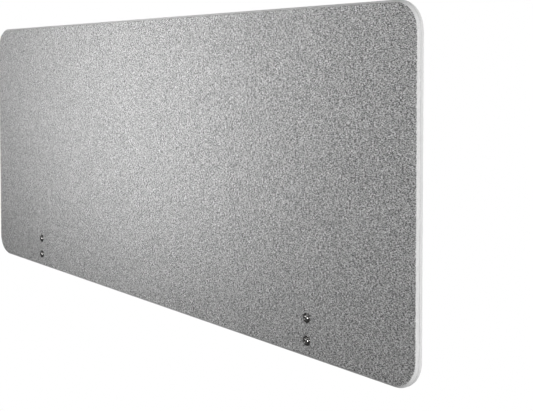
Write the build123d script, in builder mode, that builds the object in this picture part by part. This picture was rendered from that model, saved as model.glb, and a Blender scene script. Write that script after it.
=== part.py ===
"""Desk privacy panel: a fabric-faced felt panel that two screw clamps hold to a desktop's rear edge.

The origin is where the desktop's top surface meets its rear edge, midway along the panel.
+X runs along the panel, +Z is up, and the desk lies on the +Y side.
The panel's outer face looks along -Y.
"""

import os

from build123d import *

# Panel, in millimetres
PANEL_WIDTH = 1524.0
PANEL_HEIGHT = 609.6
PANEL_DROP = 57.0  # how far the panel hangs below the desktop's top surface
CORNER_RADIUS = 50.0
BEVEL = 4.7  # 45 degree bevel around both faces
FABRIC_THICK = 0.8
FACE_BOARD_THICK = 4.05
FILM_THICK = 0.3
FILM_RECESS = 0.8  # the bond line lies this far inside the panel's edge
CORE_THICK = 5.7

# Steel bracket, one for each clamp
CLAMP_SPACING = 1016.0  # from one clamp's middle to the other's
PLATE_THICK = 4.0
PLATE_WIDTH = 60.0
PLATE_TOP = 33.0
PLATE_BOTTOM = -51.0
ARM_REACH = 50.0  # the lower arm's tip, from the desk edge
BEND_RADIUS = 3.0  # inside the bend
PLATE_CORNER = 8.0
JAW_REACH = 45.0  # the upper jaw's tip, from the desk edge
WELD_LEG = 4.0

# Rubber linings on what touches the desktop
JAW_PAD_THICK = 2.0
FOOT_PAD_THICK = 2.0
EDGE_PAD_THICK = 1.0
PAD_MARGIN = 2.0  # a pad stops this far inside its plate's edges
EDGE_PAD_DROP = 42.0

# M6 screws that hold the panel to the brackets
SCREW_HEIGHTS = (-27.0, 13.0)
SCREW_RADIUS = 3.0
SCREW_LENGTH = 20.0
HEAD_RADIUS = 5.25
HEAD_HEIGHT = 3.3
HEAD_TOP_RADIUS = 2.9
SOCKET_RADIUS = 2.31  # across the corners of a 4 mm hexagon
SOCKET_DEPTH = 2.1
WASHER_RADIUS = 9.0
WASHER_HOLE_RADIUS = 3.2
WASHER_THICK = 1.6
WASHER_SINK = 0.6  # how far a tightened washer presses into the fabric
DIMPLE_RADIUS = 9.4
PANEL_HOLE_RADIUS = 3.5
COLLAR_RADIUS = 4.5  # drawn and tapped collar on the bracket, inside the panel
COLLAR_HEIGHT = 3.0
COLLAR_HOLE_RADIUS = 4.75
THREAD_GAP = 0.05  # radial, between a threaded rod and its tapped hole

# M8 clamp spindle with its foot and knob
DESKTOP_THICK = 25.4  # the desktop that the clamps are closed on at rest
SPINDLE_Y = 30.0
SPINDLE_RADIUS = 4.0
JOURNAL_RADIUS = 3.0
PEEN_RADIUS = 4.5
PEEN_THICK = 1.2
FOOT_RADIUS = 17.0
FOOT_DISC_THICK = 2.0
FOOT_HUB_RADIUS = 7.0
FOOT_HUB_HEIGHT = 2.4
PEEN_POCKET_RADIUS = 4.8
PEEN_POCKET_DEPTH = 1.4
FOOT_PLAY = 0.05  # axial and radial, between the foot and the spindle's journal
SPINDLE_COLLAR_RADIUS = 6.5  # drawn and tapped collar on the lower arm
SPINDLE_COLLAR_HEIGHT = 3.5
KNOB_TOP = -58.7
KNOB_HEIGHT = 11.0
KNOB_RADIUS = 13.5
KNOB_LOBES = 6
KNOB_NOTCH_RADIUS = 4.0
KNOB_HUB_RADIUS = 8.0
KNOB_HUB_HEIGHT = 2.0
KNOB_BORE_DEPTH = 9.0
KNOB_ROUNDING = 1.2
SMALL_ROUNDING = 0.3

# Planes across the panel's thickness, as distances from the desk edge towards -Y
INNER_FACE = EDGE_PAD_THICK + PLATE_THICK
FACE_LAYER = FABRIC_THICK + FACE_BOARD_THICK
INNER_SEAM = INNER_FACE + FACE_LAYER
CORE_START = INNER_SEAM + FILM_THICK
OUTER_SEAM = CORE_START + CORE_THICK
OUTER_BOARD_START = OUTER_SEAM + FILM_THICK
OUTER_FACE = OUTER_BOARD_START + FACE_LAYER
HEAD_SEAT = OUTER_FACE + WASHER_THICK - WASHER_SINK

PANEL_MIDDLE = PANEL_HEIGHT / 2 - PANEL_DROP
CLAMPS = {"left": -CLAMP_SPACING / 2, "right": CLAMP_SPACING / 2}
SCREW_POINTS = [(x, z) for x in CLAMPS.values() for z in SCREW_HEIGHTS]


def save(piece, label):
    """Labels a finished piece and writes it."""
    piece.part.label = label
    export_step(piece.part, f"parts/{label}.step")


def panel_layer(start, thick, hole_radius, inset=0.0):
    """One flat layer of the panel, from start to start + thick, with its four screw holes."""
    with BuildPart() as layer:
        with BuildSketch(Plane.XZ.offset(start)):
            with Locations((0, PANEL_MIDDLE)):
                RectangleRounded(
                    PANEL_WIDTH - 2 * inset, PANEL_HEIGHT - 2 * inset, CORNER_RADIUS - inset
                )
            with Locations(*SCREW_POINTS):
                Circle(hole_radius, mode=Mode.SUBTRACT)
        extrude(amount=thick)
    return layer


def face_layer(start, hole_radius, outward, cut_at, keep):
    """The fabric or the board of one face: a bevelled layer, cut where the two meet."""
    slab = panel_layer(start, FACE_LAYER, hole_radius)
    with BuildPart() as layer:
        add(slab.part)
        face = layer.faces().filter_by(Axis.Y).sort_by(Axis.Y)[outward]
        chamfer(face.outer_wire().edges(), BEVEL)
        split(bisect_by=Plane.XZ.offset(cut_at), keep=keep)
    return layer


os.makedirs("parts", exist_ok=True)

# The panel: a felt core between two bevelled felt boards, each faced with fabric
with BuildPart() as outer_fabric:
    skin = face_layer(OUTER_BOARD_START, PANEL_HOLE_RADIUS, 0, OUTER_FACE - FABRIC_THICK, Keep.TOP)
    add(skin.part)
    with BuildSketch(Plane.XZ.offset(OUTER_FACE)):
        with Locations(*SCREW_POINTS):
            Circle(DIMPLE_RADIUS)
    extrude(amount=-WASHER_SINK, mode=Mode.SUBTRACT)
save(outer_fabric, "outer_fabric")

outer_board = face_layer(
    OUTER_BOARD_START, PANEL_HOLE_RADIUS, 0, OUTER_FACE - FABRIC_THICK, Keep.BOTTOM
)
save(outer_board, "outer_board")

outer_bond_film = panel_layer(OUTER_SEAM, FILM_THICK, PANEL_HOLE_RADIUS, FILM_RECESS)
save(outer_bond_film, "outer_bond_film")

felt_core = panel_layer(CORE_START, CORE_THICK, PANEL_HOLE_RADIUS)
save(felt_core, "felt_core")

inner_bond_film = panel_layer(INNER_SEAM, FILM_THICK, COLLAR_HOLE_RADIUS, FILM_RECESS)
save(inner_bond_film, "inner_bond_film")

inner_board = face_layer(
    INNER_FACE, COLLAR_HOLE_RADIUS, -1, INNER_FACE + FABRIC_THICK, Keep.TOP
)
save(inner_board, "inner_board")

inner_fabric = face_layer(
    INNER_FACE, COLLAR_HOLE_RADIUS, -1, INNER_FACE + FABRIC_THICK, Keep.BOTTOM
)
save(inner_fabric, "inner_fabric")

# A bracket: a steel plate bent into an L, with drawn collars for the screws and the spindle
with BuildPart() as bracket_plate:
    with BuildSketch(Plane.YZ):
        with BuildLine():
            Polyline(
                (-INNER_FACE, PLATE_TOP),
                (-INNER_FACE, PLATE_BOTTOM),
                (ARM_REACH, PLATE_BOTTOM),
                (ARM_REACH, PLATE_BOTTOM + PLATE_THICK),
                (-EDGE_PAD_THICK, PLATE_BOTTOM + PLATE_THICK),
                (-EDGE_PAD_THICK, PLATE_TOP),
                close=True,
            )
        make_face()
    extrude(amount=PLATE_WIDTH / 2, both=True)
    along_bend = bracket_plate.edges().filter_by(Axis.X).group_by(Axis.Z)
    outside_bend = along_bend[0].sort_by(Axis.Y)[0]
    inside_bend = along_bend[1].sort_by(Axis.Y)[0]
    fillet(outside_bend, BEND_RADIUS + PLATE_THICK)
    fillet(inside_bend, BEND_RADIUS)
    top_corners = bracket_plate.edges().filter_by(Axis.Y).group_by(Axis.Z)[-1]
    tip_corners = bracket_plate.edges().filter_by(Axis.Z).group_by(Axis.Y)[-1]
    fillet(top_corners, PLATE_CORNER)
    fillet(tip_corners, PLATE_CORNER)
    with BuildSketch(Plane.XZ.offset(INNER_FACE)):
        with Locations(*[(0, z) for z in SCREW_HEIGHTS]):
            Circle(COLLAR_RADIUS)
    extrude(amount=COLLAR_HEIGHT)
    with BuildSketch(Plane.XY.offset(PLATE_BOTTOM + PLATE_THICK)):
        with Locations((0, SPINDLE_Y)):
            Circle(SPINDLE_COLLAR_RADIUS)
    extrude(amount=SPINDLE_COLLAR_HEIGHT)
    with BuildSketch(Plane.XZ):
        with Locations(*[(0, z) for z in SCREW_HEIGHTS]):
            Circle(SCREW_RADIUS + THREAD_GAP)
    extrude(amount=INNER_FACE + COLLAR_HEIGHT, mode=Mode.SUBTRACT)
    with BuildSketch(Plane.XY.offset(PLATE_BOTTOM)):
        with Locations((0, SPINDLE_Y)):
            Circle(SPINDLE_RADIUS + THREAD_GAP)
    extrude(amount=PLATE_THICK + SPINDLE_COLLAR_HEIGHT, mode=Mode.SUBTRACT)

# The upper jaw: a flat tongue, welded to the plate by a bead along its top corner
with BuildPart() as top_jaw:
    with BuildSketch(Plane.YZ):
        with BuildLine():
            Polyline(
                (-EDGE_PAD_THICK, JAW_PAD_THICK),
                (JAW_REACH, JAW_PAD_THICK),
                (JAW_REACH, JAW_PAD_THICK + PLATE_THICK),
                (-EDGE_PAD_THICK + WELD_LEG, JAW_PAD_THICK + PLATE_THICK),
                (-EDGE_PAD_THICK, JAW_PAD_THICK + PLATE_THICK + WELD_LEG),
                close=True,
            )
        make_face()
    extrude(amount=PLATE_WIDTH / 2, both=True)
    fillet(top_jaw.edges().filter_by(Axis.Z).group_by(Axis.Y)[-1], PLATE_CORNER)

# Rubber pads under the upper jaw and against the desk edge
with BuildPart() as jaw_pad:
    with BuildSketch():
        with Locations((0, (JAW_REACH - PAD_MARGIN + SMALL_ROUNDING) / 2)):
            RectangleRounded(
                PLATE_WIDTH - 2 * PAD_MARGIN, JAW_REACH - PAD_MARGIN - SMALL_ROUNDING, PLATE_CORNER / 2
            )
    extrude(amount=JAW_PAD_THICK)

with BuildPart() as edge_pad:
    with BuildSketch(Plane.XZ):
        with Locations((0, -EDGE_PAD_DROP / 2)):
            RectangleRounded(PLATE_WIDTH - 2 * PAD_MARGIN, EDGE_PAD_DROP, PAD_MARGIN)
    extrude(amount=EDGE_PAD_THICK)

# The foot: a turned disc on the spindle's journal, with a rubber pad on top
PAD_TOP = -DESKTOP_THICK
DISC_TOP = PAD_TOP - FOOT_PAD_THICK
HUB_BOTTOM = DISC_TOP - FOOT_DISC_THICK - FOOT_HUB_HEIGHT
POCKET_FLOOR = DISC_TOP - PEEN_POCKET_DEPTH
SPINDLE_SHOULDER = HUB_BOTTOM - FOOT_PLAY
SPINDLE_END = KNOB_TOP - KNOB_BORE_DEPTH

with BuildPart() as clamp_foot:
    with BuildSketch(Plane.YZ):
        with BuildLine():
            Polyline(
                (SPINDLE_Y + JOURNAL_RADIUS + FOOT_PLAY, HUB_BOTTOM),
                (SPINDLE_Y + FOOT_HUB_RADIUS, HUB_BOTTOM),
                (SPINDLE_Y + FOOT_HUB_RADIUS, DISC_TOP - FOOT_DISC_THICK),
                (SPINDLE_Y + FOOT_RADIUS, DISC_TOP - FOOT_DISC_THICK),
                (SPINDLE_Y + FOOT_RADIUS, DISC_TOP),
                (SPINDLE_Y + PEEN_POCKET_RADIUS, DISC_TOP),
                (SPINDLE_Y + PEEN_POCKET_RADIUS, POCKET_FLOOR),
                (SPINDLE_Y + JOURNAL_RADIUS + FOOT_PLAY, POCKET_FLOOR),
                close=True,
            )
        make_face()
    revolve(axis=Axis((0, SPINDLE_Y, 0), (0, 0, 1)))
    rim = clamp_foot.edges().filter_by(GeomType.CIRCLE).sort_by(SortBy.RADIUS)[-2:]
    fillet(rim, SMALL_ROUNDING)

with BuildPart() as foot_pad:
    with BuildSketch(Plane.XY.offset(DISC_TOP)):
        with Locations((0, SPINDLE_Y)):
            Circle(FOOT_RADIUS - SMALL_ROUNDING)
    extrude(amount=FOOT_PAD_THICK)

# The spindle: a threaded rod with a journal, peened over above the foot
with BuildPart() as clamp_spindle:
    with BuildSketch(Plane.YZ):
        with BuildLine():
            Polyline(
                (SPINDLE_Y, SPINDLE_END),
                (SPINDLE_Y + SPINDLE_RADIUS, SPINDLE_END),
                (SPINDLE_Y + SPINDLE_RADIUS, SPINDLE_SHOULDER),
                (SPINDLE_Y + JOURNAL_RADIUS, SPINDLE_SHOULDER),
                (SPINDLE_Y + JOURNAL_RADIUS, POCKET_FLOOR + FOOT_PLAY),
                (SPINDLE_Y + PEEN_RADIUS, POCKET_FLOOR + FOOT_PLAY),
                (SPINDLE_Y + PEEN_RADIUS, POCKET_FLOOR + FOOT_PLAY + PEEN_THICK),
                (SPINDLE_Y, POCKET_FLOOR + FOOT_PLAY + PEEN_THICK),
                close=True,
            )
        make_face()
    revolve(axis=Axis((0, SPINDLE_Y, 0), (0, 0, 1)))

# The knob: a lobed grip with a blind bore for the spindle
with BuildPart() as clamp_knob:
    with BuildSketch(Plane.XY.offset(KNOB_TOP - KNOB_HEIGHT)):
        with Locations((0, SPINDLE_Y)):
            Circle(KNOB_RADIUS)
            with PolarLocations(KNOB_RADIUS + KNOB_NOTCH_RADIUS / 2, KNOB_LOBES):
                Circle(KNOB_NOTCH_RADIUS, mode=Mode.SUBTRACT)
    extrude(amount=KNOB_HEIGHT - KNOB_HUB_HEIGHT)
    ends = clamp_knob.faces().filter_by(Axis.Z)
    fillet([edge for end in ends for edge in end.outer_wire().edges()], KNOB_ROUNDING)
    with BuildSketch(Plane.XY.offset(KNOB_TOP - KNOB_HUB_HEIGHT)):
        with Locations((0, SPINDLE_Y)):
            Circle(KNOB_HUB_RADIUS)
    extrude(amount=KNOB_HUB_HEIGHT)
    with BuildSketch(Plane.XY.offset(SPINDLE_END)):
        with Locations((0, SPINDLE_Y)):
            Circle(SPINDLE_RADIUS)
    extrude(amount=KNOB_BORE_DEPTH, mode=Mode.SUBTRACT)

# A button-head screw and its washer, both with their axis along +Z and the head's seat at zero
with BuildPart() as screw:
    with BuildSketch(Plane.XZ):
        with BuildLine():
            Polyline(
                (0, HEAD_HEIGHT),
                (0, -SCREW_LENGTH),
                (SCREW_RADIUS, -SCREW_LENGTH),
                (SCREW_RADIUS, 0),
                (HEAD_RADIUS, 0),
                (HEAD_RADIUS, SMALL_ROUNDING),
            )
            RadiusArc((HEAD_RADIUS, SMALL_ROUNDING), (HEAD_TOP_RADIUS, HEAD_HEIGHT), -HEAD_RADIUS)
            Line((HEAD_TOP_RADIUS, HEAD_HEIGHT), (0, HEAD_HEIGHT))
        make_face()
    revolve(axis=Axis.Z)
    with BuildSketch(Plane.XY.offset(HEAD_HEIGHT)):
        RegularPolygon(SOCKET_RADIUS, 6)
    extrude(amount=-SOCKET_DEPTH, mode=Mode.SUBTRACT)
    chamfer(screw.faces().sort_by(Axis.Z)[0].edges(), 2 * SMALL_ROUNDING)

with BuildPart() as washer:
    with BuildSketch(Plane.XY.offset(-WASHER_THICK)):
        Circle(WASHER_RADIUS)
        Circle(WASHER_HOLE_RADIUS, mode=Mode.SUBTRACT)
    extrude(amount=WASHER_THICK)
    fillet(washer.edges().filter_by(GeomType.CIRCLE).sort_by(SortBy.RADIUS)[-2:], SMALL_ROUNDING)

clamp_pieces = {
    "bracket_plate": bracket_plate,
    "top_jaw": top_jaw,
    "jaw_pad": jaw_pad,
    "edge_pad": edge_pad,
    "clamp_foot": clamp_foot,
    "foot_pad": foot_pad,
    "clamp_spindle": clamp_spindle,
    "clamp_knob": clamp_knob,
}
fasteners = {"panel_screws": screw, "panel_washers": washer}

for side, clamp_x in CLAMPS.items():
    for name, master in clamp_pieces.items():
        with BuildPart() as piece:
            with Locations((clamp_x, 0, 0)):
                add(master.part)
        save(piece, f"{side}_{name}")
    for name, master in fasteners.items():
        with BuildPart() as pair:
            seats = [Location((clamp_x, -HEAD_SEAT, z), (90, 0, 0)) for z in SCREW_HEIGHTS]
            with Locations(*seats):
                add(master.part)
        save(pair, f"{side}_{name}")
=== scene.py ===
"""Visual model of the desk privacy panel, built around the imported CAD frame.

Lengths are in millimetres until a point is placed, and the placed points are in metres.
"""

import math

import bmesh
import bpy
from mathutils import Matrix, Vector, noise
from mathutils.geometry import delaunay_2d_cdt


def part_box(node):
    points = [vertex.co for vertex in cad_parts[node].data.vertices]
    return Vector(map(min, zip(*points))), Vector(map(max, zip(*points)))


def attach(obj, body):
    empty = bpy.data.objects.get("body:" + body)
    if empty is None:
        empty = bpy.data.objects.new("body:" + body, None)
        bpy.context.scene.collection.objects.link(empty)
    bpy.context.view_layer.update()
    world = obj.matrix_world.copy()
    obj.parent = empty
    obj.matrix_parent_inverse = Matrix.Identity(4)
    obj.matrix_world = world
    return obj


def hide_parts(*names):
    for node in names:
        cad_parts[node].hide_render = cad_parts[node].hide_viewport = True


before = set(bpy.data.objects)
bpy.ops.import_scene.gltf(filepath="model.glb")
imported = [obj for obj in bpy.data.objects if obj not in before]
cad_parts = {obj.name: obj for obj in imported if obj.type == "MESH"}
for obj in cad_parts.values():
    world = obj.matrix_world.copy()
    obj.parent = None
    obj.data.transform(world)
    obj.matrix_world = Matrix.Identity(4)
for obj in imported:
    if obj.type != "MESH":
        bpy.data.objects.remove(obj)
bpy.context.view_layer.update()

MM = 0.001
ROOT = "panel_and_brackets"

# ---------------------------------------------------------------- sizes from the frame


def node_box(node):
    """Lowest and highest corner of a CAD node, in millimetres."""
    low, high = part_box(node)
    return [c / MM for c in low], [c / MM for c in high]


def depth_of(node):
    """Where a panel layer starts and ends, measured from the desk edge towards -Y."""
    low, high = node_box(node)
    return -high[1], -low[1]


(PANEL_LEFT, _, PANEL_FOOT), (PANEL_RIGHT, _, PANEL_HEAD) = node_box("felt_core")
PANEL_WIDTH = PANEL_RIGHT - PANEL_LEFT
PANEL_HEIGHT = PANEL_HEAD - PANEL_FOOT
PANEL_MIDDLE = (PANEL_HEAD + PANEL_FOOT) / 2
OUTER_UNDER, OUTER_FACE = depth_of("outer_fabric")
INNER_FACE, INNER_UNDER = depth_of("inner_fabric")
OUTER_SEAM = depth_of("outer_board")[0]
INNER_SEAM = depth_of("inner_board")[1]
CORE_BACK, CORE_FRONT = depth_of("felt_core")
CORNER_RADIUS = 50.0
BEVEL = 4.7
FILM_RECESS = 0.8
PANEL_HOLE = 3.5
COLLAR_HOLE = 4.75

WASHER_BACK, WASHER_FRONT = depth_of("left_panel_washers")
SCREW_TIP, HEAD_TOP = depth_of("left_panel_screws")
SCREW_HEIGHTS = (-27.0, 13.0)
WASHER_RIM = 9.0

SIDES = ("left", "right")
MIDDLES = {side: sum(corner[0] for corner in node_box(f"{side}_bracket_plate")) / 2 for side in SIDES}
SCREW_POINTS = [(MIDDLES[side], z) for side in SIDES for z in SCREW_HEIGHTS]
PLATE_LOW, PLATE_HIGH = node_box("left_bracket_plate")
JAW_LOW, JAW_HIGH = node_box("left_top_jaw")
EDGE_PAD_LOW, EDGE_PAD_HIGH = node_box("left_edge_pad")
JAW_PAD_LOW, JAW_PAD_HIGH = node_box("left_jaw_pad")
FOOT_LOW, FOOT_HIGH = node_box("left_clamp_foot")
FOOT_PAD_LOW, FOOT_PAD_HIGH = node_box("left_foot_pad")
SPINDLE_LOW, SPINDLE_HIGH = node_box("left_clamp_spindle")
KNOB_LOW, KNOB_HIGH = node_box("left_clamp_knob")
SPINDLE_Y = (SPINDLE_LOW[1] + SPINDLE_HIGH[1]) / 2
PLATE_THICK = 4.0
BEND_RADIUS = 3.0
CLAMP_CORNER = 8.0
CLAMP_EDGE = 0.45

# ---------------------------------------------------------------- mesh code

HOLE_STEPS = 48


def place_on_panel(x=0.0, z=0.0):
    """Puts (across, up, depth) on the panel, with depth measured from the desk edge towards -Y."""
    return lambda u, v, h: ((x + u) * MM, -h * MM, (z + v) * MM)


def place_upright(x, y=0.0):
    """Puts (across, back, height) on a vertical axis at x, y."""
    return lambda u, v, h: ((x + u) * MM, (y + v) * MM, h * MM)


def place_on_bracket(x):
    """Puts (across, distance down the bent plate from its top edge, depth below its inner face)."""
    inner_y = PLATE_LOW[1] + PLATE_THICK
    bend_z = PLATE_LOW[2] + PLATE_THICK + BEND_RADIUS
    leg = PLATE_HIGH[2] - bend_z
    bend = math.pi / 2 * (BEND_RADIUS + PLATE_THICK / 2)

    def place(u, v, h):
        if v < leg:
            y, z = inner_y - h, PLATE_HIGH[2] - v
        elif v < leg + bend:
            angle = math.pi + (v - leg) / bend * math.pi / 2
            y = inner_y + BEND_RADIUS + (BEND_RADIUS + h) * math.cos(angle)
            z = bend_z + (BEND_RADIUS + h) * math.sin(angle)
        else:
            y, z = inner_y + BEND_RADIUS + v - leg - bend, PLATE_LOW[2] + PLATE_THICK - h
        return ((x + u) * MM, y * MM, z * MM)

    return place, leg, bend


def wobble(along, up, depth):
    """Coarse and fine waves of a cut edge, at a point on the outline and a depth."""
    at = Vector((along, up, 2.5 * depth))
    coarse, fine = 0.16, 0.55
    return 1 + noise.noise(at * coarse) + 0.6 * noise.noise(at * fine)


def rounded_outline(u, v, width, height, radius, step, roughness=0.0):
    """A function of inset and depth that gives the points of a rounded rectangle about (u, v)."""
    arc_steps = max(6, round(radius * math.pi / 2 / step))
    centres = [
        (u + sx * (width / 2 - radius), v + sy * (height / 2 - radius))
        for sx, sy in ((1, 1), (-1, 1), (-1, -1), (1, -1))
    ]

    def outline(inset, depth):
        points = []
        for k, (cu, cv) in enumerate(centres):
            for i in range(arc_steps + 1):
                angle = math.pi / 2 * (k + i / arc_steps)
                points.append((cu, cv, math.cos(angle), math.sin(angle)))
            nu, nv = centres[(k + 1) % 4]
            side_steps = max(1, round(math.hypot(nu - cu, nv - cv) / step))
            for i in range(1, side_steps):
                t = i / side_steps
                angle = math.pi / 2 * (k + 1)
                at = (cu + (nu - cu) * t, cv + (nv - cv) * t)
                points.append((*at, math.cos(angle), math.sin(angle)))
        result = []
        for cu, cv, along, up in points:
            reach = radius - inset
            if roughness:
                reach -= roughness * wobble(cu + along * radius, cv + up * radius, depth)
            result.append((cu + along * reach, cv + up * reach))
        return result

    return outline


def rounded_levels(back, front, radius, steps=4):
    """(inset, depth) pairs up the side of a plate whose edges are rounded."""
    turns = [math.pi / 2 * i / steps for i in range(steps + 1)]
    rise = [(radius * (1 - math.sin(t)), back + radius * (1 - math.cos(t))) for t in turns]
    fall = [(inset, back + front - depth) for inset, depth in reversed(rise)]
    return rise + fall


class Shape:
    """The points and faces of one piece, gathered from its closed shells."""

    def __init__(self):
        self.points = []
        self.faces = []

    def ring(self, points):
        start = len(self.points)
        self.points += points
        return list(range(start, len(self.points)))

    def join(self, low, high):
        """Faces between two rings, either of which may be a single point."""
        count = max(len(low), len(high))
        for i in range(count):
            a, b = low[i % len(low)], low[(i + 1) % len(low)]
            c, d = high[(i + 1) % len(high)], high[i % len(high)]
            self.faces.append(tuple(dict.fromkeys((a, b, c, d))))

    def revolve(self, profile, place, count, turn=0.0, closed=False):
        """Turns (radius, height) pairs about an axis. A radius may be a function of the angle.

        An open profile starts and ends on the axis. A closed one goes round, and leaves a bore.
        """
        rings = []
        for radius, height in profile:
            if radius == 0:
                rings.append(self.ring([place(0.0, 0.0, height)]))
                continue
            points = []
            for i in range(count):
                angle = 2 * math.pi * i / count
                reach = radius(angle) if callable(radius) else radius
                across, up = reach * math.cos(angle + turn), reach * math.sin(angle + turn)
                points.append(place(across, up, height))
            rings.append(self.ring(points))
        for low, high in zip(rings, rings[1:] + rings[:1] if closed else rings[1:]):
            self.join(low, high)

    def slab(self, outline, levels, place, holes=(), spread=()):
        """A plate with holes.

        Levels are (inset, depth) pairs up its side. A hole is (u, v, its (radius, depth) pairs).
        The flat ends also go through the spread points.
        """
        sides, ends = [], []

        def wall(flats, profile):
            heights = [depth for _, depth in profile]
            sides.append([self.ring([place(*at, h) for at in flat]) for flat, h in zip(flats, heights)])
            ends.append((flats[0], flats[-1]))

        wall([outline(inset, depth) for inset, depth in levels], levels)
        turns = [2 * math.pi * i / HOLE_STEPS for i in range(HOLE_STEPS)]
        for hu, hv, profile in holes:
            flats = [[(hu + r * math.cos(t), hv + r * math.sin(t)) for t in turns] for r, _ in profile]
            wall(flats, profile)
        for rings in sides:
            for low, high in zip(rings, rings[1:]):
                self.join(low, high)
        for end in (0, -1):
            depth = levels[end][1]
            loose = self.ring([place(u, v, depth) for u, v in spread])
            rings = [(rings[end], flat[end]) for rings, flat in zip(sides, ends)]
            self.fill(rings, list(zip(loose, spread)))

    def fill(self, rings, loose):
        """Triangles between an outer ring and the rings inside it, through the loose points."""
        flat, owner, index, edges = [], [], [], []
        for number, (indices, points) in enumerate(rings):
            start, count = len(flat), len(points)
            flat += points
            index += indices
            owner += [number] * count
            edges += [(start + i, start + (i + 1) % count) for i in range(count)]
        for i, point in loose:
            flat.append(point)
            index.append(i)
            owner.append(0)
        inside_only, tolerance = 1, 1e-6
        made = delaunay_2d_cdt([Vector(p) for p in flat], edges, [], inside_only, tolerance)
        source = [ids[0] for ids in made[3]]
        for face in made[2]:
            corners = [source[k] for k in face]
            owners = {owner[k] for k in corners}
            if owners != {0} and len(owners) == 1:
                continue  # inside a hole
            self.faces.append(tuple(index[k] for k in corners))

    def finish(self, name, material, body, node, slot, sharp=40):
        """Makes the piece, which stands for a CAD node and rides on its body.

        Edges that turn by more than the sharp angle, in degrees, stay crisp.
        """
        mesh = bpy.data.meshes.new(name)
        mesh.from_pydata(self.points, [], self.faces)
        work = bmesh.new()
        work.from_mesh(mesh)
        loose = [v for v in work.verts if not v.link_faces]
        bmesh.ops.delete(work, geom=loose, context="VERTS")
        bmesh.ops.recalc_face_normals(work, faces=work.faces)
        work.to_mesh(mesh)
        work.free()
        mesh.polygons.foreach_set("use_smooth", [True] * len(mesh.polygons))
        mesh.set_sharp_from_angle(angle=math.radians(sharp))
        mesh.materials.append(material)
        piece = bpy.data.objects.new(name, mesh)
        bpy.context.scene.collection.objects.link(piece)
        normals = piece.modifiers.new("normals", "WEIGHTED_NORMAL")
        normals.keep_sharp = True
        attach(piece, body)
        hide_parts(node)
        return piece


# ---------------------------------------------------------------- materials


class Finish:
    """One material's nodes. A grain is a size in metres along each axis of the object."""

    def __init__(self, name, **shader):
        self.material = bpy.data.materials.new(name)
        self.material.use_nodes = True
        self.tree = self.material.node_tree
        self.shader = self.tree.nodes["Principled BSDF"]
        for key, value in shader.items():
            self.shader.inputs[key.replace("_", " ").title().replace("Ior", "IOR")].default_value = value
        self.place = self.node("ShaderNodeTexCoord").outputs["Object"]

    def node(self, kind, inputs=None, **settings):
        made = self.tree.nodes.new(kind)
        for key, value in settings.items():
            setattr(made, key, value)
        for key, value in (inputs or {}).items():
            if isinstance(value, bpy.types.NodeSocket):
                self.tree.links.new(value, made.inputs[key])
            else:
                made.inputs[key].default_value = value
        return made

    def noise(self, grain, detail, turn=(0.0, 0.0, 0.0), warp=0.0):
        """Noise from 0 to 1, stretched to the grain and turned by Euler angles."""
        mapped = self.node(
            "ShaderNodeMapping",
            {"Vector": self.place, "Rotation": turn, "Scale": grain},
            vector_type="TEXTURE",
        )
        made = self.node(
            "ShaderNodeTexNoise",
            {"Vector": mapped.outputs[0], "Scale": 1.0, "Detail": detail, "Distortion": warp},
        )
        return made.outputs["Fac"]

    def math(self, operation, a, b, clamp=False):
        made = self.node("ShaderNodeMath", {0: a, 1: b}, operation=operation, use_clamp=clamp)
        return made.outputs[0]

    def spread(self, value, low, high, out_low, out_high):
        """Maps low..high to out_low..out_high, and stops there."""
        made = self.node(
            "ShaderNodeMapRange",
            {"Value": value, "From Min": low, "From Max": high, "To Min": out_low, "To Max": out_high},
        )
        return made.outputs[0]

    def blend(self, weights):
        """The sum of weight times (value - 0.5)."""
        total = None
        for value, weight in weights:
            part = self.math("MULTIPLY_ADD", value, weight)
            part.node.inputs[2].default_value = -0.5 * weight
            total = part if total is None else self.math("ADD", total, part)
        return total

    def colour(self, value, stops):
        """Colours the shader by a value from 0 to 1. A stop is (position, (red, green, blue))."""
        ramp = self.node("ShaderNodeValToRGB", {"Fac": value})
        for _ in stops[2:]:
            ramp.color_ramp.elements.new(0.5)
        for element, (position, rgb) in zip(ramp.color_ramp.elements, stops):
            element.position = position
            element.color = (*rgb, 1.0)
        self.tree.links.new(ramp.outputs["Color"], self.shader.inputs["Base Color"])

    def rough(self, value):
        self.tree.links.new(value, self.shader.inputs["Roughness"])

    def bump(self, height, distance, strength=1.0):
        """Raises the surface by up to distance, in metres."""
        inputs = {"Height": height, "Distance": distance, "Strength": strength}
        made = self.node("ShaderNodeBump", inputs)
        self.tree.links.new(made.outputs["Normal"], self.shader.inputs["Normal"])


def grey(level):
    return (level, level, level)


MATT_FIBRE = {"roughness": 0.95, "specular_ior_level": 0.2, "sheen_weight": 0.08, "sheen_roughness": 0.6}


def heather_fabric():
    """Heathered facing: dark and light flecks of yarn, across and up, with fine fibres over them."""
    finish = Finish("heather_fabric", **MATT_FIBRE)
    flat_turns = [(0.0, math.radians(angle), 0.0) for angle in (28, 74, 118, 163)]
    across = finish.noise((0.0040, 0.0011, 0.0011), 1.0, warp=0.4)
    upright = finish.noise((0.0012, 0.0012, 0.0022), 1.0, warp=0.4)
    fibres = [finish.noise((0.006, 0.001, 0.00028), 1.0, turn, 0.35) for turn in flat_turns]
    grain = finish.noise((0.0005, 0.0005, 0.0005), 2.0)
    drift = finish.noise((0.045, 0.045, 0.045), 2.0)
    yarn = [(across, 3.3), (upright, 2.0), (grain, 1.2), (drift, 0.07)]
    fleck = finish.blend(yarn + [(fibre, 0.85) for fibre in fibres])
    tone = finish.math("ADD", fleck, 0.5, clamp=True)
    finish.colour(tone, [(0.0, grey(0.08)), (0.5, grey(0.375)), (1.0, grey(0.84))])
    yarn = [(across, 0.5), (upright, 0.5), (grain, 0.4)]
    relief = finish.blend([(fibre, 0.5) for fibre in fibres] + yarn)
    finish.bump(relief, 0.0004, 0.8)
    return finish.material


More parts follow.
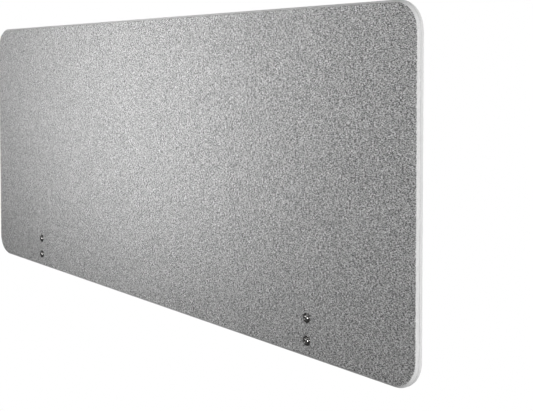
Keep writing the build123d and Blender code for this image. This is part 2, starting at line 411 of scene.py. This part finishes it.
def cut_felt(name, level):
    """Cut edge of pressed felt: pale fibres in thin layers that run along the panel."""
    finish = Finish(name, **MATT_FIBRE)
    layers = finish.noise((0.014, 0.0005, 0.014), 3.0, warp=0.3)
    fibres = finish.noise((0.003, 0.0003, 0.003), 2.0, (0.25, 0.0, 0.2), 0.4)
    pores = finish.noise((0.0012, 0.0009, 0.0012), 2.0)
    fleck = finish.blend([(layers, 0.9), (fibres, 0.8), (pores, 0.8)])
    tone = finish.math("ADD", fleck, 0.5, clamp=True)
    finish.colour(tone, [(0.05, grey(0.7 * level)), (0.5, grey(level)), (0.95, grey(1.22 * level))])
    finish.bump(fleck, 0.0004, 0.7)
    return finish.material


def bond_line():
    """Adhesive film, seen only in the groove between the felt boards."""
    finish = Finish("bond_line", roughness=0.6)
    streaks = finish.noise((0.02, 0.0004, 0.02), 2.0)
    finish.colour(streaks, [(0.3, grey(0.05)), (0.7, grey(0.12))])
    finish.bump(streaks, 0.0001)
    return finish.material


def powder_coat():
    """Black powder coat with a fine orange-peel texture."""
    finish = Finish("powder_coat", roughness=0.5, specular_ior_level=0.5)
    peel = finish.noise((0.0007, 0.0007, 0.0007), 3.0)
    cloud = finish.noise((0.02, 0.02, 0.02), 2.0)
    finish.colour(cloud, [(0.3, grey(0.018)), (0.7, grey(0.030))])
    finish.rough(finish.spread(finish.blend([(peel, 0.6), (cloud, 0.4)]), -0.3, 0.3, 0.38, 0.62))
    finish.bump(peel, 0.00012, 0.7)
    return finish.material


def zinc_steel():
    """Zinc-plated turned steel, with fine lines around its axis and a faint bloom."""
    finish = Finish("zinc_steel", roughness=0.35, metallic=1.0)
    lines = finish.noise((0.006, 0.006, 0.00012), 2.0)
    bloom = finish.noise((0.004, 0.004, 0.004), 3.0)
    finish.colour(bloom, [(0.3, (0.50, 0.50, 0.47)), (0.7, (0.68, 0.68, 0.66))])
    finish.rough(finish.spread(finish.blend([(lines, 0.7), (bloom, 0.5)]), -0.35, 0.35, 0.24, 0.48))
    finish.bump(lines, 0.00003, 0.6)
    return finish.material


def bright_steel():
    """Polished nickel-plated steel, with hairline scratches."""
    finish = Finish("bright_steel", roughness=0.16, metallic=1.0)
    scratches = finish.noise((0.0045, 0.0045, 0.00014), 2.0, (0.0, 0.6, 0.0), 0.2)
    cloud = finish.noise((0.0015, 0.0015, 0.0015), 2.0)
    finish.colour(cloud, [(0.3, (0.40, 0.395, 0.385)), (0.7, (0.50, 0.495, 0.485))])
    finish.rough(finish.spread(finish.blend([(scratches, 0.6), (cloud, 0.5)]), -0.3, 0.3, 0.10, 0.27))
    finish.bump(scratches, 0.00002, 0.4)
    return finish.material


def pad_rubber():
    """Matt black rubber with a fine pebbled skin."""
    finish = Finish("pad_rubber", roughness=0.8, specular_ior_level=0.35)
    pebble = finish.noise((0.0005, 0.0005, 0.0005), 2.0)
    dust = finish.noise((0.009, 0.009, 0.009), 4.0)
    finish.colour(dust, [(0.35, grey(0.022)), (0.75, grey(0.042))])
    finish.rough(finish.spread(dust, 0.3, 0.7, 0.72, 0.9))
    finish.bump(pebble, 0.00015, 0.8)
    return finish.material


def knob_plastic():
    """Black nylon with a fine moulded grain, worn a little smoother in places."""
    finish = Finish("knob_plastic", roughness=0.5, specular_ior_level=0.5)
    grain = finish.noise((0.0004, 0.0004, 0.0004), 2.0)
    wear = finish.noise((0.006, 0.006, 0.006), 3.0)
    finish.colour(wear, [(0.3, grey(0.020)), (0.75, grey(0.033))])
    finish.rough(finish.spread(wear, 0.3, 0.7, 0.58, 0.42))
    finish.bump(grain, 0.0001, 0.6)
    return finish.material


FABRIC, FILM = heather_fabric(), bond_line()
BOARD_FELT, CORE_FELT = cut_felt("board_edge_felt", 0.76), cut_felt("core_edge_felt", 0.70)
COAT, ZINC, BRIGHT = powder_coat(), zinc_steel(), bright_steel()
RUBBER, PLASTIC = pad_rubber(), knob_plastic()

# ---------------------------------------------------------------- the panel

PERIMETER_STEP = 5.0
GRID_STEP = 42.0
GRID_CLEAR = 30.0
SOFT_EDGE = 0.16
CUT_ROUGHNESS = 0.10
DIMPLE_STEPS = 8


def panel_outline(roughness=0.0):
    return rounded_outline(
        0.0, PANEL_MIDDLE, PANEL_WIDTH, PANEL_HEIGHT, CORNER_RADIUS, PERIMETER_STEP, roughness
    )


def panel_grid():
    """Points spread over the panel, clear of its border and of the screw holes."""
    across = int((PANEL_WIDTH / 2 - GRID_CLEAR) / GRID_STEP)
    up = int((PANEL_HEIGHT / 2 - GRID_CLEAR) / GRID_STEP)
    points = [
        (i * GRID_STEP, PANEL_MIDDLE + k * GRID_STEP)
        for i in range(-across, across + 1)
        for k in range(-up, up + 1)
    ]
    return [p for p in points if min(math.dist(p, hole) for hole in SCREW_POINTS) > GRID_CLEAR]


def straight_holes(radius, back, front):
    return [(x, z, [(radius, back), (radius, front)]) for x, z in SCREW_POINTS]


def dimpled_holes(back, face, sunk):
    """Screw holes whose washers have pressed the fabric in, with a soft slope around each washer."""
    bed, slope = WASHER_RIM + 0.1, 8.0
    profile = [(PANEL_HOLE, back), (PANEL_HOLE, sunk), (bed, sunk)]
    for i in range(1, DIMPLE_STEPS + 1):
        t = i / DIMPLE_STEPS
        profile.append((bed + slope * t * t, sunk + (face - sunk) * math.sin(t * math.pi / 2)))
    return [(x, z, profile) for x, z in SCREW_POINTS]


GRID = panel_grid()


def make_facing(name, node, under, face, holes):
    """A fabric facing, bevelled with the board beneath it and softened where it meets the bevel."""
    outward = 1 if face > under else -1
    thick = abs(face - under)
    foot = BEVEL - thick
    shape = Shape()
    profile = [(foot, 0.0), (foot + 0.45 * thick, 0.45 * thick), (foot + 0.8 * thick, 0.8 * thick)]
    profile += [(BEVEL + 0.02, 0.95 * thick), (BEVEL + 0.25, thick)]
    levels = [(inset, under + outward * rise) for inset, rise in profile]
    shape.slab(panel_outline(CUT_ROUGHNESS), levels, place_on_panel(), holes, spread=GRID)
    piece = shape.finish(name, FABRIC, ROOT, node, "face_fabric")


def make_board(name, node, seam, under, face, holes):
    """A felt board: a narrow land at the seam, then the bevel up to the facing."""
    outward = 1 if face > seam else -1
    foot = BEVEL - abs(face - under)
    land = abs(face - seam) - BEVEL
    shape = Shape()
    profile = [(2.0 * SOFT_EDGE, 0.0), (1.4 * SOFT_EDGE, land), (1.1 * SOFT_EDGE, land + 0.2)]
    profile += [(foot * t, land + foot * t) for t in (0.14, 0.3, 0.5, 0.7, 0.88, 1.0)]
    levels = [(inset, seam + outward * rise) for inset, rise in profile]
    shape.slab(panel_outline(CUT_ROUGHNESS), levels, place_on_panel(), holes, spread=GRID)
    shape.finish(name, BOARD_FELT, ROOT, node, "edge_felt")


def make_core():
    """The middle board, with its edges eased at both seams."""
    shape = Shape()
    levels = rounded_levels(CORE_BACK, CORE_FRONT, 1.5 * SOFT_EDGE, steps=2)
    middle = [(0.0, CORE_BACK + (CORE_FRONT - CORE_BACK) * t) for t in (0.2, 0.4, 0.6, 0.8)]
    half = len(levels) // 2
    levels = levels[:half] + middle + levels[half:]
    holes = straight_holes(PANEL_HOLE, CORE_BACK, CORE_FRONT)
    shape.slab(panel_outline(CUT_ROUGHNESS), levels, place_on_panel(), holes, spread=GRID)
    shape.finish("core_felt", CORE_FELT, ROOT, "felt_core", "edge_felt")


def make_film(name, node, hole):
    """A bond film, set back from the boards' edges so that it reads as a dark line."""
    back, front = depth_of(node)
    shape = Shape()
    levels = [(FILM_RECESS, back), (FILM_RECESS, front)]
    shape.slab(panel_outline(), levels, place_on_panel(), straight_holes(hole, back, front), spread=GRID)
    shape.finish(name, FILM, ROOT, node, "bond_film")


make_facing(
    "facing_outer", "outer_fabric", OUTER_UNDER, OUTER_FACE,
    dimpled_holes(OUTER_UNDER, OUTER_FACE, WASHER_BACK),
)
make_facing(
    "facing_inner", "inner_fabric", INNER_UNDER, INNER_FACE,
    straight_holes(COLLAR_HOLE, INNER_UNDER, INNER_FACE),
)
make_board(
    "felt_outer", "outer_board", OUTER_SEAM, OUTER_UNDER, OUTER_FACE,
    straight_holes(PANEL_HOLE, OUTER_SEAM, OUTER_UNDER),
)
make_board(
    "felt_inner", "inner_board", INNER_SEAM, INNER_UNDER, INNER_FACE,
    straight_holes(COLLAR_HOLE, INNER_SEAM, INNER_UNDER),
)
make_core()
make_film("film_outer", "outer_bond_film", PANEL_HOLE)
make_film("film_inner", "inner_bond_film", COLLAR_HOLE)

# ---------------------------------------------------------------- threads and fasteners

SAMPLES_PER_TURN = 10
THREAD_DEPTH = 0.613  # of the pitch, as in an ISO thread
HALF_CREST, FLANK = 0.0625, 0.3125  # of the pitch


def thread(crest, pitch, start, end):
    """Rings of a right-hand thread between two heights, as (radius by angle, height) pairs."""
    depth = THREAD_DEPTH * pitch
    step = pitch / SAMPLES_PER_TURN
    heights = [start + i * step for i in range(int((end - start) / step) + 1)]

    def ring(height):
        fade = min(1.0, (height - start) / pitch, (end - height) / pitch)

        def radius(angle):
            phase = (height / pitch - angle / (2 * math.pi)) % 1.0
            flank = (min(phase, 1 - phase) - HALF_CREST) / FLANK
            return crest - depth * fade * min(1.0, max(0.0, flank))

        return radius

    return [(ring(h), h) for h in heights]


def hexagon(across_flats):
    """The radius of a hexagonal hole at each angle."""
    return lambda angle: across_flats / 2 / math.cos((angle + math.pi / 6) % (math.pi / 3) - math.pi / 6)


def make_screws(side):
    """Two M6 button-head screws with hexagon sockets."""
    seat, top = WASHER_FRONT, HEAD_TOP
    shank, pitch = 2.98, 1.0
    head, rim, crown, socket, socket_floor = 5.25, 0.35, 2.9, 4.0, HEAD_TOP - 2.0
    dome, dome_steps = [], 8
    for i in range(dome_steps + 1):
        t = math.pi / 2 * i / dome_steps
        rise = (top - seat - rim) * math.sin(t)
        dome.append((crown + (head - crown) * math.cos(t), seat + rim + rise))
    shape = Shape()
    for number, z in enumerate(SCREW_HEIGHTS):
        place = place_on_panel(MIDDLES[side], z)
        turn = 0.35 + 1.1 * number + (0.5 if side == "left" else 0.0)  # as if tightened by hand
        profile = [(0, seat + 0.01), (head - 0.2, seat + 0.01), (head - 0.05, seat + 0.06)]
        profile += [(head, seat + 0.2)] + dome
        profile += [(2.62, top), (2.45, top - 0.06), (hexagon(socket), top - 0.28)]
        profile += [(hexagon(socket), socket_floor), (1.0, socket_floor - 0.15), (0, socket_floor - 0.5)]
        shape.revolve(profile, place, count=96, turn=turn)
        rod = [(0, SCREW_TIP), (2.3, SCREW_TIP), (2.45, SCREW_TIP + 0.15)]
        rod += thread(shank, pitch, SCREW_TIP + 0.3, seat - 1.0)
        rod += [(shank, seat - 0.9), (shank, seat + 0.2), (0, seat + 0.2)]
        shape.revolve(rod, place, count=36)
    shape.finish(f"screws_{side}", BRIGHT, ROOT, f"{side}_panel_screws", "bright_steel", sharp=32)


def make_washers(side):
    """Two large M6 washers, rounded on the punched side and with a burr-free bore."""
    bore, roll, roll_steps, gap = 3.2, 0.45, 5, 0.005
    back, front = WASHER_BACK + gap, WASHER_FRONT - gap
    shape = Shape()
    for z in SCREW_HEIGHTS:
        profile = [(bore + 0.1, back), (WASHER_RIM - 0.12, back), (WASHER_RIM, back + 0.12)]
        for i in range(roll_steps + 1):
            t = math.pi / 2 * i / roll_steps
            profile.append((WASHER_RIM - roll * (1 - math.cos(t)), front - roll * (1 - math.sin(t))))
        profile += [(bore + 0.25, front), (bore + 0.08, front - 0.08)]
        profile += [(bore, front - 0.25), (bore, back + 0.1)]
        shape.revolve(profile, place_on_panel(MIDDLES[side], z), count=96, closed=True)
    node = f"{side}_panel_washers"
    shape.finish(f"washers_{side}", BRIGHT, ROOT, node, "bright_steel", sharp=32)


# ---------------------------------------------------------------- the clamps


def make_bracket(side):
    """A bent plate with drawn collars around its tapped holes."""
    place, leg, bend = place_on_bracket(MIDDLES[side])
    width = PLATE_HIGH[0] - PLATE_LOW[0]
    tip = PLATE_HIGH[1] - (PLATE_LOW[1] + PLATE_THICK + BEND_RADIUS)
    length = leg + bend + tip
    screw_hole, spindle_hole, hole_edge = 3.05, 4.05, 0.25

    def hole(u, v, radius):
        edge = rounded_levels(0.0, PLATE_THICK, hole_edge, steps=2)
        return (u, v, [(radius + inset, depth) for inset, depth in edge])

    spindle_at = leg + bend + SPINDLE_Y - (PLATE_LOW[1] + PLATE_THICK + BEND_RADIUS)
    holes = [hole(0.0, PLATE_HIGH[2] - z, screw_hole) for z in SCREW_HEIGHTS]
    holes.append(hole(0.0, spindle_at, spindle_hole))
    bend_steps, beyond, half_span, spacing = 8, 0.6, 28, 4
    rows = [leg - beyond] + [leg + bend * i / bend_steps for i in range(bend_steps + 1)]
    rows.append(leg + bend + beyond)
    spread = [(u, v) for u in range(-half_span, half_span + 1, spacing) for v in rows]
    outline = rounded_outline(0.0, length / 2, width, length, CLAMP_CORNER, 1.4)
    shape = Shape()
    shape.slab(outline, rounded_levels(0.0, PLATE_THICK, CLAMP_EDGE), place, holes, spread=spread)
    for z in SCREW_HEIGHTS:
        back, front = -PLATE_LOW[1] - 0.3, -PLATE_LOW[1] + 3.0
        collar = [(screw_hole, back), (5.1, back), (5.1, back + 0.3), (4.6, back + 0.7)]
        collar += [(4.45, back + 1.2), (4.45, front - 0.3), (4.2, front)]
        collar += [(screw_hole + 0.25, front), (screw_hole, front - 0.25)]
        shape.revolve(collar, place_on_panel(MIDDLES[side], z), count=48, closed=True)
    floor = PLATE_LOW[2] + PLATE_THICK
    collar = [(spindle_hole, floor - 0.3), (7.6, floor - 0.3), (7.4, floor + 0.15), (6.8, floor + 0.5)]
    collar += [(6.5, floor + 1.2), (6.45, floor + 3.5), (6.0, floor + 3.95), (4.6, floor + 4.0)]
    collar += [(spindle_hole, floor + 3.5)]
    shape.revolve(collar, place_upright(MIDDLES[side], SPINDLE_Y), count=64, closed=True)
    shape.finish(f"bracket_{side}", COAT, ROOT, f"{side}_bracket_plate", "bracket_steel")


def make_jaw(side):
    """The upper jaw's tongue, and the rippled bead that welds it to the bracket."""
    middle = MIDDLES[side]
    width = JAW_HIGH[0] - JAW_LOW[0]
    reach = JAW_HIGH[1] - JAW_LOW[1]
    under = JAW_LOW[2]
    top = under + PLATE_THICK
    outline = rounded_outline(0.0, JAW_LOW[1] + reach / 2, width, reach, CLAMP_CORNER, 1.6)

    def squared(inset, depth):
        """The tongue's corners are square where it meets the bracket."""
        root, side_band = JAW_LOW[1] + CLAMP_CORNER, 3.0
        points = []
        for u, v in outline(inset, depth):
            if v <= root and abs(u) >= width / 2 - CLAMP_CORNER:
                if abs(u) > width / 2 - side_band:
                    u = math.copysign(width / 2 - inset, u)
                else:
                    v = JAW_LOW[1] + inset
            points.append((u, v))
        return points

    shape = Shape()
    shape.slab(squared, rounded_levels(under, top, CLAMP_EDGE), place_upright(middle))
    half, step, ripple, leg, sunk = width / 2 - 3.0, 0.4, 1.7, 3.1, 0.1
    count, arc_steps = int(2 * half / step), 8
    rings = []
    for i in range(count + 1):
        x = -half + 2 * half * i / count
        end = math.sqrt(max(0.03, 1 - (abs(x) / half) ** 8))  # thins the bead at its two ends
        points = []
        for k in range(arc_steps + 1):
            t = math.pi / 2 * k / arc_steps
            scallop = abs(math.sin(math.pi * (x / ripple + 0.35 * math.sin(2 * t))))
            uneven = noise.noise(Vector((x * 0.8, t, 3.0 * middle)))
            size = (leg + 0.32 * scallop + 0.1 * uneven) * end
            points.append((JAW_LOW[1] - sunk + size * math.cos(t), top - sunk + size * math.sin(t)))
        points.append((JAW_LOW[1] - 3 * sunk, top - 3 * sunk))
        rings.append(shape.ring([((middle + x) * MM, y * MM, z * MM) for y, z in points]))
    for low, high in zip(rings, rings[1:]):
        shape.join(low, high)
    for ring in (rings[0], rings[-1]):
        shape.faces.append(tuple(ring))
    shape.finish(f"jaw_{side}", COAT, ROOT, f"{side}_top_jaw", "bracket_steel", sharp=50)


def make_pads(side):
    """The rubber pads under the upper jaw and against the desk edge."""
    middle = MIDDLES[side]

    def pad(name, node, low, high, up, ends, place, corner):
        outline = rounded_outline(
            0.0, (low[up] + high[up]) / 2, high[0] - low[0], high[up] - low[up], corner, 1.5
        )
        shape = Shape()
        shape.slab(outline, rounded_levels(*ends, 0.3, steps=3), place)
        shape.finish(f"{name}_{side}", RUBBER, ROOT, f"{side}_{node}", "pad_rubber")

    low, high = JAW_PAD_LOW, JAW_PAD_HIGH
    pad("jaw_lining", "jaw_pad", low, high, 1, (low[2], high[2]), place_upright(middle), 4.0)
    low, high = EDGE_PAD_LOW, EDGE_PAD_HIGH
    pad("edge_lining", "edge_pad", low, high, 2, (-high[1], -low[1]), place_on_panel(middle), 2.0)


def make_foot(side):
    """The turned foot and the rubber pad on it, which has two grip rings."""
    place = place_upright(MIDDLES[side], SPINDLE_Y)
    low, high = FOOT_LOW[2], FOOT_HIGH[2]
    rim = (FOOT_HIGH[0] - FOOT_LOW[0]) / 2
    bore, boss, disc = 3.05, 7.0, high - 2.0
    pocket, pocket_floor = 4.8, high - 1.4
    profile = [(bore, low + 0.2), (3.3, low), (6.6, low), (boss, low + 0.4), (boss, disc - 0.7)]
    profile += [(7.2, disc - 0.25), (7.7, disc), (rim - 0.35, disc), (rim - 0.1, disc + 0.1)]
    profile += [(rim, disc + 0.35), (rim, high - 0.35), (rim - 0.1, high - 0.1), (rim - 0.35, high)]
    profile += [(pocket + 0.1, high), (pocket, high - 0.1), (pocket, pocket_floor)]
    profile += [(3.2, pocket_floor), (bore, pocket_floor - 0.15)]
    shape = Shape()
    shape.revolve(profile, place, count=80, closed=True)
    shape.finish(f"foot_{side}", ZINC, f"{side}_foot", f"{side}_clamp_foot", "foot_steel")

    low, high = FOOT_PAD_LOW[2], FOOT_PAD_HIGH[2]
    rim = (FOOT_PAD_HIGH[0] - FOOT_PAD_LOW[0]) / 2
    profile = [(0, low), (rim - 0.15, low), (rim, low + 0.15)]
    profile += [(rim, high - 0.5), (rim - 0.15, high - 0.15), (rim - 0.5, high)]
    groove_floor = high - 0.4
    for groove in (12.5, 8.0):
        profile += [(groove + 0.7, high), (groove + 0.45, groove_floor)]
        profile += [(groove - 0.45, groove_floor), (groove - 0.7, high)]
    profile.append((0, high))
    shape = Shape()
    shape.revolve(profile, place, count=80)
    node = f"{side}_foot_pad"
    shape.finish(f"foot_lining_{side}", RUBBER, f"{side}_foot", node, "pad_rubber", sharp=28)


def make_spindle(side):
    """The threaded spindle, with a plain journal and a peened head inside the foot."""
    place = place_upright(MIDDLES[side], SPINDLE_Y)
    low, high = SPINDLE_LOW[2], SPINDLE_HIGH[2]
    shoulder = FOOT_LOW[2] - 0.05
    crest, pitch, journal = 3.98, 1.25, 3.0
    profile = [(0, low), (3.9, low), (crest, low + 0.1), (crest, KNOB_HIGH[2] - 0.6)]
    profile += thread(crest, pitch, KNOB_HIGH[2] - 0.5, shoulder - 0.9)
    profile += [(3.5, shoulder - 0.4), (3.3, shoulder), (journal, shoulder), (journal, high - 1.25)]
    profile += [(4.5, high - 1.2), (4.4, high - 0.5), (3.4, high - 0.1), (0, high)]
    shape = Shape()
    shape.revolve(profile, place, count=48)
    node = f"{side}_clamp_spindle"
    shape.finish(f"spindle_{side}", ZINC, f"{side}_spindle", node, "foot_steel", sharp=50)


def make_knob(side):
    """A six-lobed grip with rounded edges, a hub on top and a dished underside."""
    place = place_upright(MIDDLES[side], SPINDLE_Y)
    low, high = KNOB_LOW[2], KNOB_HIGH[2]
    outer, notch, lobes, blend = 13.5, 4.0, 6, 1.6
    reach = outer + notch / 2
    shelf, bore, pocket = high - 2.0, 4.0, SPINDLE_LOW[2] - 0.02

    def lobed(inset):
        def radius(angle):
            turn = (angle + math.pi / lobes) % (2 * math.pi / lobes) - math.pi / lobes
            inside = notch**2 - (reach * math.sin(turn)) ** 2
            cut = reach * math.cos(turn) - math.sqrt(inside) if inside > 0 else outer + 2.0
            near = max(blend - abs(cut - outer), 0.0) / blend
            return min(cut, outer) - near * near * blend / 4 - inset

        return radius

    edge_radius, edge_steps, dish = 1.3, 5, 1.3
    turns = [math.pi / 2 * i / edge_steps for i in range(edge_steps + 1)]
    edge = [(edge_radius * (1 - math.sin(t)), edge_radius * (1 - math.cos(t))) for t in turns]
    profile = [(0, low + dish), (6.6, low + dish), (7.3, low + 1.1)]
    profile += [(8.0, low + 0.25), (8.5, low + 0.02)]
    profile += [(lobed(inset), low + rise) for inset, rise in edge]
    profile += [(lobed(0.0), low + 4.0), (lobed(0.0), low + 6.0)]
    profile += [(lobed(inset), shelf - rise) for inset, rise in reversed(edge)]
    profile += [(8.9, shelf + 0.02), (8.2, shelf + 0.35), (7.95, shelf + 0.9), (7.9, high - 0.4)]
    profile += [(7.5, high), (bore + 0.4, high), (bore, high - 0.4), (bore, pocket), (0, pocket)]
    shape = Shape()
    shape.revolve(profile, place, count=120)
    node = f"{side}_clamp_knob"
    shape.finish(f"knob_{side}", PLASTIC, f"{side}_spindle", node, "knob_plastic", sharp=50)


for side in SIDES:
    make_screws(side)
    make_washers(side)
    make_bracket(side)
    make_jaw(side)
    make_pads(side)
    make_foot(side)
    make_spindle(side)
    make_knob(side)

# ---------------------------------------------------------------- stage, light and camera


def light_path_mix(tree, seen, unseen):
    """Shows one shader to the camera and lets another light the object."""
    path = tree.nodes.new("ShaderNodeLightPath")
    mix = tree.nodes.new("ShaderNodeMixShader")
    tree.links.new(path.outputs["Is Camera Ray"], mix.inputs[0])
    tree.links.new(unseen.outputs[0], mix.inputs[1])
    tree.links.new(seen.outputs[0], mix.inputs[2])
    return mix


def make_floor():
    """A plain pale floor at the height that the desk would stand on."""
    half, below = 20.0, -0.735
    mesh = bpy.data.meshes.new("floor")
    corners = [(x * half, y * half, below) for x, y in ((-1, -1), (1, -1), (1, 1), (-1, 1))]
    mesh.from_pydata(corners, [], [(0, 1, 2, 3)])
    material = bpy.data.materials.new("floor")
    material.use_nodes = True
    tree = material.node_tree
    pale = tree.nodes.new("ShaderNodeEmission")
    pale.inputs["Color"].default_value = (1.0, 1.0, 1.0, 1.0)
    matt = tree.nodes["Principled BSDF"]
    matt.inputs["Base Color"].default_value = (0.12, 0.12, 0.12, 1.0)
    matt.inputs["Roughness"].default_value = 0.9
    mix = light_path_mix(tree, pale, matt)
    tree.links.new(mix.outputs[0], tree.nodes["Material Output"].inputs["Surface"])
    mesh.materials.append(material)
    floor = bpy.data.objects.new("floor", mesh)
    bpy.context.scene.collection.objects.link(floor)


def make_world():
    """White behind the object, with a weak even fill."""
    world = bpy.data.worlds.new("studio")
    world.use_nodes = True
    tree = world.node_tree
    soft = tree.nodes["Background"]
    soft.inputs["Color"].default_value = (1.0, 1.0, 1.0, 1.0)
    soft.inputs["Strength"].default_value = 0.08
    white = tree.nodes.new("ShaderNodeBackground")
    white.inputs["Color"].default_value = (1.0, 1.0, 1.0, 1.0)
    mix = light_path_mix(tree, white, soft)
    tree.links.new(mix.outputs[0], tree.nodes["World Output"].inputs["Surface"])
    bpy.context.scene.world = world


def make_light(name, place, aim, width, height, watts):
    """A soft rectangular lamp, placed and aimed in metres."""
    data = bpy.data.lights.new(name, "AREA")
    data.shape = "RECTANGLE"
    data.size, data.size_y = width, height
    data.energy = watts
    light = bpy.data.objects.new(name, data)
    light.location = place
    light.rotation_euler = (Vector(aim) - Vector(place)).to_track_quat("-Z", "Y").to_euler()
    bpy.context.scene.collection.objects.link(light)


make_floor()
make_world()
# The outer face is brightest at its upper left, as in the photo. The last two light its hidden sides.
make_light("front", (-0.14, -0.90, 0.29), (-0.38, 0.0, 1.62), 1.0, 0.9, 12.2)
make_light("above", (-0.2, -2.6, 1.6), (0.0, 0.0, 0.25), 1.4, 1.0, 7.2)
make_light("top", (-0.2, -0.4, 2.8), (-0.1, 0.0, 0.5), 1.8, 0.4, 8.0)
make_light("low", (0.3, -1.1, 0.05), (0.25, 0.0, -0.35), 0.5, 0.4, 1.25)
make_light("side", (3.5, -0.54, 0.24), (0.7, 0.0, 0.25), 1.5, 1.5, 80.0)
make_light("side_front", (3.2, -1.6, 0.4), (0.7, 0.0, 0.25), 1.0, 1.0, 3.0)
make_light("far_side", (-3.2, 0.6, 0.7), (-0.7, 0.1, 0.25), 1.0, 1.0, 40.0)
make_light("behind", (0.4, 2.8, 1.6), (0.0, 0.0, 0.2), 1.8, 1.4, 60.0)

AZIMUTH, PITCH = math.radians(50.748), math.radians(2.0)
camera_data = bpy.data.cameras.new("camera")
camera_data.sensor_width = 36.0
camera_data.lens = 64.91
camera_data.shift_x = 0.0008
camera_data.shift_y = -0.1919
camera = bpy.data.objects.new("camera", camera_data)
camera.location = (1.7442, -1.1223, 0.4435)
looking = Vector(
    (-math.sin(AZIMUTH) * math.cos(PITCH), math.cos(AZIMUTH) * math.cos(PITCH), -math.sin(PITCH))
)
camera.rotation_euler = looking.to_track_quat("-Z", "Y").to_euler()
bpy.context.scene.collection.objects.link(camera)
bpy.context.scene.camera = camera
bpy.context.scene.view_settings.view_transform = "Standard"
